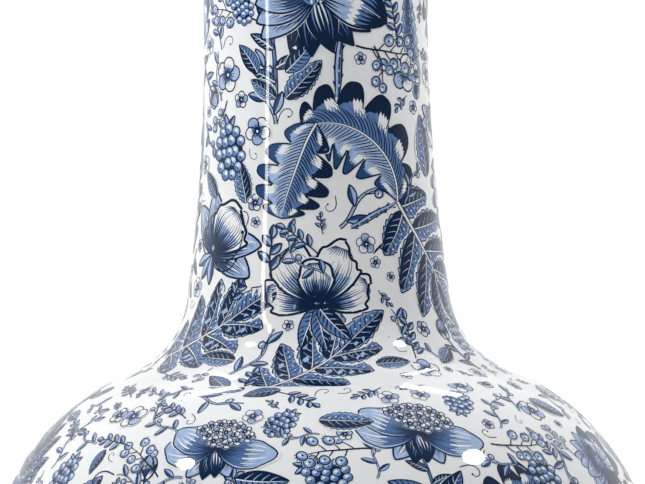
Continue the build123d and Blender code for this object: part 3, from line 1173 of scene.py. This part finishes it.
BELLY_PLAN = (
    (10, (("compound", -3, 20, 1.1), ("exotic", 3.5, 0, 1.1), ("shaded", 8, 0, 0.9))),
    (11, (("peony", 0, 10, 1.1), ("trumpet", -6, 20, 1.0))),
    (14, (("compound", -7, 10, 0.9), ("rosebud", -3, 10, 0.9), ("notched", -2, -10, 0.7),
          ("serrated", -5, -40, 1.2), ("oak", 2.5, -80, 1.0), ("twig", 4.5, 0, 0.8),
          ("dark", -3.5, -50, 1.1))),
    (15, (("rosebud", 2, 0, 0.9), ("dark", 2, 50, 1.1), ("dark", 2, -50, 1.0),
          ("berries_few", -1, 60, 1.1), ("blossom", 1, 0, 0.9), ("bramble", -5.5, -10, 0.9),
          ("bramble", 4.5, 10, 0.9), ("vine", -0.5, 40, 0.8), ("sprig", -6.5, 20, 0.9))),
    (16, (("bramble", 0.5, 70, 0.9), ("berries", -3, 40, 0.9), ("tendril", -4, 70, 1.2),
          ("vine", 4, 30, 0.8), ("vine", -6, -30, 0.8), ("vine", -2.5, 70, 0.8),
          ("vine", 1, -40, 0.7), ("exotic", 6.5, 10, 0.8), ("dark", -1.5, -100, 1.1),
          ("sprig", 5, 0, 0.9))),
    (17, (("shaded", -2, 0, 0.9), ("berries", 1, 80, 1.0), ("sprig", -4, 70, 0.9),
          ("sprig", -6, 40, 0.8), ("berries", 3.5, -110, 1.0), ("twig", -5, 60, 0.7))),
    (17.5, (("shaded", 2, -10, 1.0), ("bramble", -1, -30, 0.7), ("blossom_small", 0.5, 0, 0.8),
            ("vine", 4, -60, 0.7), ("vine", -3, 30, 0.7), ("vine", 0, 60, 0.6))),
    (18, (("blossom", -4.5, 0, 1.0), ("blossom_small", -5, 0, 1.1), ("sprig", -3, 50, 0.8),
          ("blossom", 5.5, 0, 1.0), ("serrated", 0, -100, 0.9), ("twig", 5, -40, 0.7))),
    (19, (("beads", 2, -80, 1.0), ("blossom", 4, 0, 0.9), ("blossom_small", 5, 0, 0.9),
          ("serrated", -2, 70, 0.8), ("dark", -1, 100, 0.8), ("sprig_small", -6, 30, 1.0),
          ("vine", -3.5, 80, 0.6), ("sprig_small", 6.5, -30, 1.0))),
)
PRINT_FOOT, PRINT_TOP = 14.0, 394.0     # the heights between which the vase is printed
SEAM_GAP = 0.4              # bare strip on each side of the joint between the sheets
REPEATS = 2                 # times that a sheet goes round the vase
BIG = ("peony", "shaded", "exotic", "oak", "long_oak")
MIDDLING = ("compound", "trumpet", "feather", "rosebud", "peony", "vine", "twig")
SMALL = ("berries", "sprig", "bramble", "blossom", "serrated")
TINY = ("berries_few", "sprig_small", "blossom_small", "dark", "tendril", "sprig_small")


def fill_sheet(sheet, motifs, plan, seed):
    """The planned motifs, then others strewn by size over what they leave free."""
    for row, places in plan:
        for name, column, turn, size in places:
            sheet.put(motifs[name], column * COLUMN, sheet.outside.s_at(row * ROW), turn, size)
    kinds = ((BIG, 1200, 0.06, (0.8, 1.05)), (MIDDLING, 1600, 0.07, (0.7, 1.05)),
             (SMALL, 2600, 0.07, (0.6, 1.05)), (TINY, 5000, 0.05, (0.5, 1.0)))
    for i, (names, tries, shy, sizes) in enumerate(kinds):
        sheet.scatter([motifs[name] for name in names], tries, shy, seed + i, sizes)


def neck_sheet(outside):
    """The print above the joint between the sheets."""
    sheet = Sheet("neck_print", outside, REPEATS, SEAM_GAP, outside.s_at(PRINT_TOP))
    fill_sheet(sheet, stock(1), NECK_PLAN, 11)
    return sheet


def belly_sheet(outside):
    """The print below the joint between the sheets."""
    sheet = Sheet("belly_print", outside, REPEATS, outside.s_at(PRINT_FOOT), -SEAM_GAP)
    fill_sheet(sheet, stock(31), BELLY_PLAN, 21)
    return sheet


outside = Outside()
glaze_nodes()
for node in ("belly_luting_slip", "collar_luting_slip", "rim_luting_slip"):
    joint_band(outside, node)
print_sheet(neck_sheet(outside), inks)
print_sheet(belly_sheet(outside), inks)


# ---- Floor, light and camera ----

SHOULDER, MIDDLE = (0, 0, 0.2), (0, 0, 0.25)    # what the lamps face
LAMPS = (       # name, place and target in metres, width and height, watts, shape
    ("left_top_softbox", (-0.89, -0.17, 1.47), SHOULDER, (0.16, 0.12), 9, "ELLIPSE"),
    ("right_top_softbox", (0.99, 0.0, 1.45), SHOULDER, (0.24, 0.16), 9, "ELLIPSE"),
    ("back_top_light", (0, 1.0, 1.4), SHOULDER, (1.2, 0.10), 4, "RECTANGLE"),
    ("left_softbox", (-1.58, 0.28, 0.5), MIDDLE, (2.4, 2.2), 1.9, "RECTANGLE"),
    ("left_edge_strip", (-1.14, -0.98, 0.5), MIDDLE, (0.08, 2.4), 8, "RECTANGLE"),
    ("front_window", (-1.09, -1.68, 0.6), MIDDLE, (1.1, 2.0), 2.6, "RECTANGLE"),
)
WORLD_FRONT, WORLD_BACK = 0.12, 1.04    # the backdrop's light on the vase, by direction
FLOOR_REACH = 12.0                      # metres from the vase to each edge of the floor
FLOOR_TONE = 0.62
GLOW_FROM, GLOW_TO, GLOW = 0.6, 1.5, 0.9    # the floor brightens over these metres
LENS, SENSOR = 150, 36                  # the camera's, in millimetres
CAMERA_DISTANCE = 1.075
CAMERA_AIM = (0.0018, 0, 0.2446)
CAMERA_ROLL = -0.6                      # degrees


def area_light(name, place, target, size, power, shape):
    """A lamp of some size at a place, facing a target."""
    light = bpy.data.lights.new(name, "AREA")
    light.shape = shape
    light.size, light.size_y = size
    light.energy = power
    lamp = bpy.data.objects.new(name, light)
    lamp.location = place
    lamp.rotation_euler = (Vector(target) - Vector(place)).to_track_quat("-Z", "Y").to_euler()
    bpy.context.scene.collection.objects.link(lamp)


def floor_material():
    """Plain pale floor that fades into the white backdrop away from the vase."""
    material = bpy.data.materials.new("floor")
    material.use_nodes = True
    tree = material.node_tree
    shader = tree.nodes["Principled BSDF"]
    shader.inputs["Base Color"].default_value = (FLOOR_TONE, FLOOR_TONE, FLOOR_TONE, 1)
    shader.inputs["Roughness"].default_value = 0.9
    shader.inputs["Emission Color"].default_value = (1, 1, 1, 1)
    place = tree.nodes.new("ShaderNodeTexCoord")
    distance = tree.nodes.new("ShaderNodeVectorMath")
    distance.operation = "LENGTH"
    tree.links.new(place.outputs["Object"], distance.inputs[0])
    glow = ranged(tree, distance.outputs["Value"], GLOW_FROM, GLOW_TO, 0.0, GLOW)
    tree.links.new(glow, shader.inputs["Emission Strength"])
    return material


def floor():
    """The plane the vase stands on."""
    corners = [(x * FLOOR_REACH, y * FLOOR_REACH, 0) for x, y in ((-1, -1), (1, -1), (1, 1), (-1, 1))]
    mesh = bpy.data.meshes.new("floor")
    mesh.from_pydata(corners, [], [(0, 1, 2, 3)])
    mesh.materials.append(floor_material())
    piece = bpy.data.objects.new("floor", mesh)
    bpy.context.scene.collection.objects.link(piece)


def studio_world():
    """Lights the vase brightly from behind and dimly from the front. Seen directly, it is a
    plain white backdrop all round."""
    world = bpy.data.worlds.new("studio")
    world.use_nodes = True
    nodes, links = world.node_tree.nodes, world.node_tree.links
    place = nodes.new("ShaderNodeTexCoord")
    split = nodes.new("ShaderNodeSeparateXYZ")
    links.new(place.outputs["Generated"], split.inputs[0])
    ramp = nodes.new("ShaderNodeMapRange")
    ramp.interpolation_type = "SMOOTHSTEP"
    ramp.inputs["From Min"].default_value = -0.35
    ramp.inputs["From Max"].default_value = 0.75
    ramp.inputs["To Min"].default_value = WORLD_FRONT
    ramp.inputs["To Max"].default_value = WORLD_BACK
    links.new(split.outputs["Y"], ramp.inputs["Value"])
    ray = nodes.new("ShaderNodeLightPath")
    strength = nodes.new("ShaderNodeMath")
    strength.operation = "MAXIMUM"
    links.new(ramp.outputs[0], strength.inputs[0])
    links.new(ray.outputs["Is Camera Ray"], strength.inputs[1])
    links.new(strength.outputs[0], nodes["Background"].inputs["Strength"])
    nodes["Background"].inputs["Color"].default_value = (1, 1, 1, 1)
    bpy.context.scene.world = world


def camera():
    """A long lens, level with the foot of the neck."""
    data = bpy.data.cameras.new("camera")
    data.lens, data.sensor_width = LENS, SENSOR
    aim = Vector(CAMERA_AIM)
    thing = bpy.data.objects.new("camera", data)
    thing.location = aim + Vector((0, -CAMERA_DISTANCE, 0))
    look = (aim - thing.location).to_track_quat("-Z", "Y").to_matrix().to_4x4()
    roll = Matrix.Rotation(np.radians(CAMERA_ROLL), 4, "Z")
    thing.matrix_world = Matrix.Translation(thing.location) @ look @ roll
    bpy.context.scene.collection.objects.link(thing)
    bpy.context.scene.camera = thing


floor()
studio_world()
bpy.context.scene.view_settings.view_transform = "Standard"
for lamp in LAMPS:
    area_light(*lamp)
camera()
